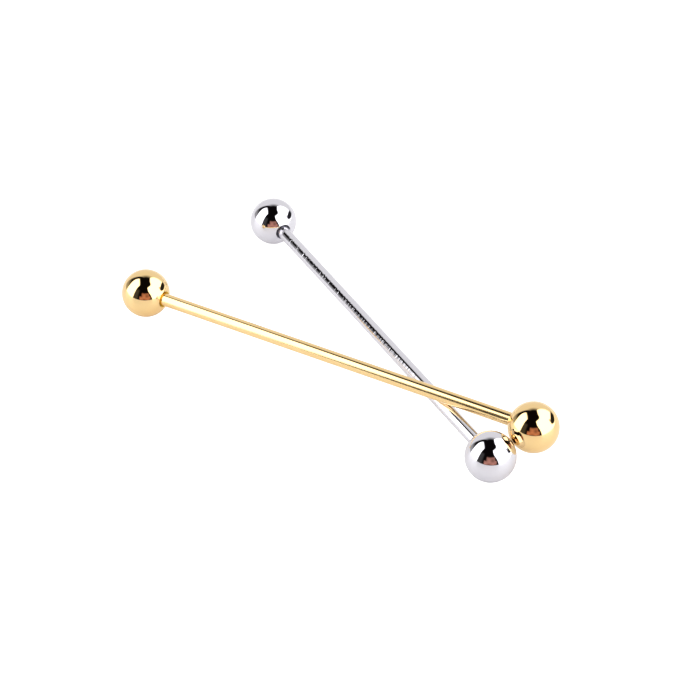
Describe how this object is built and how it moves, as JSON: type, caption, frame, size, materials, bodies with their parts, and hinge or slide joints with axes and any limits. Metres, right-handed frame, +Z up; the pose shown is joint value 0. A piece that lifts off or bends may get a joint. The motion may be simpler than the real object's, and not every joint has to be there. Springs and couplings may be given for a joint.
{
  "type": "collar bar",
  "caption": "Pair of polished collar bars, one gold and one silver, each a straight rod with a fixed ball at one end and an unscrewing ball at the other",
  "frame": {"origin": "on the surface the bars lie on, under the middle of the pair's box seen from above", "axes": "+Z up; +Y along the silver bar, from its fixed ball to its screw ball; +X towards the two fixed balls' gold side"},
  "size_m": [0.033, 0.061, 0.0081],
  "materials": {
    "silver_plate": "polished bright silver-tone plating over brass",
    "gold_plate": "polished yellow gold plating over brass"
  },
  "bodies": {
    "silver_bar": {"silver_rod": "silver_plate", "silver_fixed_ball": "silver_plate"},
    "silver_ball": {"silver_screw_ball": "silver_plate"},
    "silver_stud": {"silver_stud": "silver_plate"},
    "gold_bar": {"gold_rod": "gold_plate", "gold_fixed_ball": "gold_plate"},
    "gold_ball": {"gold_screw_ball": "gold_plate"},
    "gold_stud": {"gold_stud": "gold_plate"}
  },
  "joints": [
    {"name": "gold_bar_lift", "type": "slide", "parent": "silver_bar", "child": "gold_bar", "axis": [0, 0, 1], "range_m": [0, 0.02]},
    {"name": "silver_ball_unscrew", "type": "slide", "parent": "silver_bar", "child": "silver_ball", "axis": [0, 1, 0], "range_m": [0, 0.004]},
    {"name": "silver_stud_turn", "type": "hinge", "parent": "silver_ball", "child": "silver_stud", "pos_m": [0.00785, 0.02507, 0.003], "axis": [0, 1, 0], "range_deg": [0, 5760]},
    {"name": "gold_ball_unscrew", "type": "slide", "parent": "gold_bar", "child": "gold_ball", "axis": [-0.4921, 0.8697, -0.0376], "range_m": [0, 0.004]},
    {"name": "gold_stud_turn", "type": "hinge", "parent": "gold_ball", "child": "gold_stud", "pos_m": [-0.01234, 0.01832, 0.00309], "axis": [-0.4921, 0.8697, -0.0376], "range_deg": [0, 5760]}
  ],
  "couplings": [
    {"joint": "silver_stud_turn", "follows": "silver_ball_unscrew", "rad_per_m": 25133},
    {"joint": "gold_stud_turn", "follows": "gold_ball_unscrew", "rad_per_m": 25133}
  ]
}
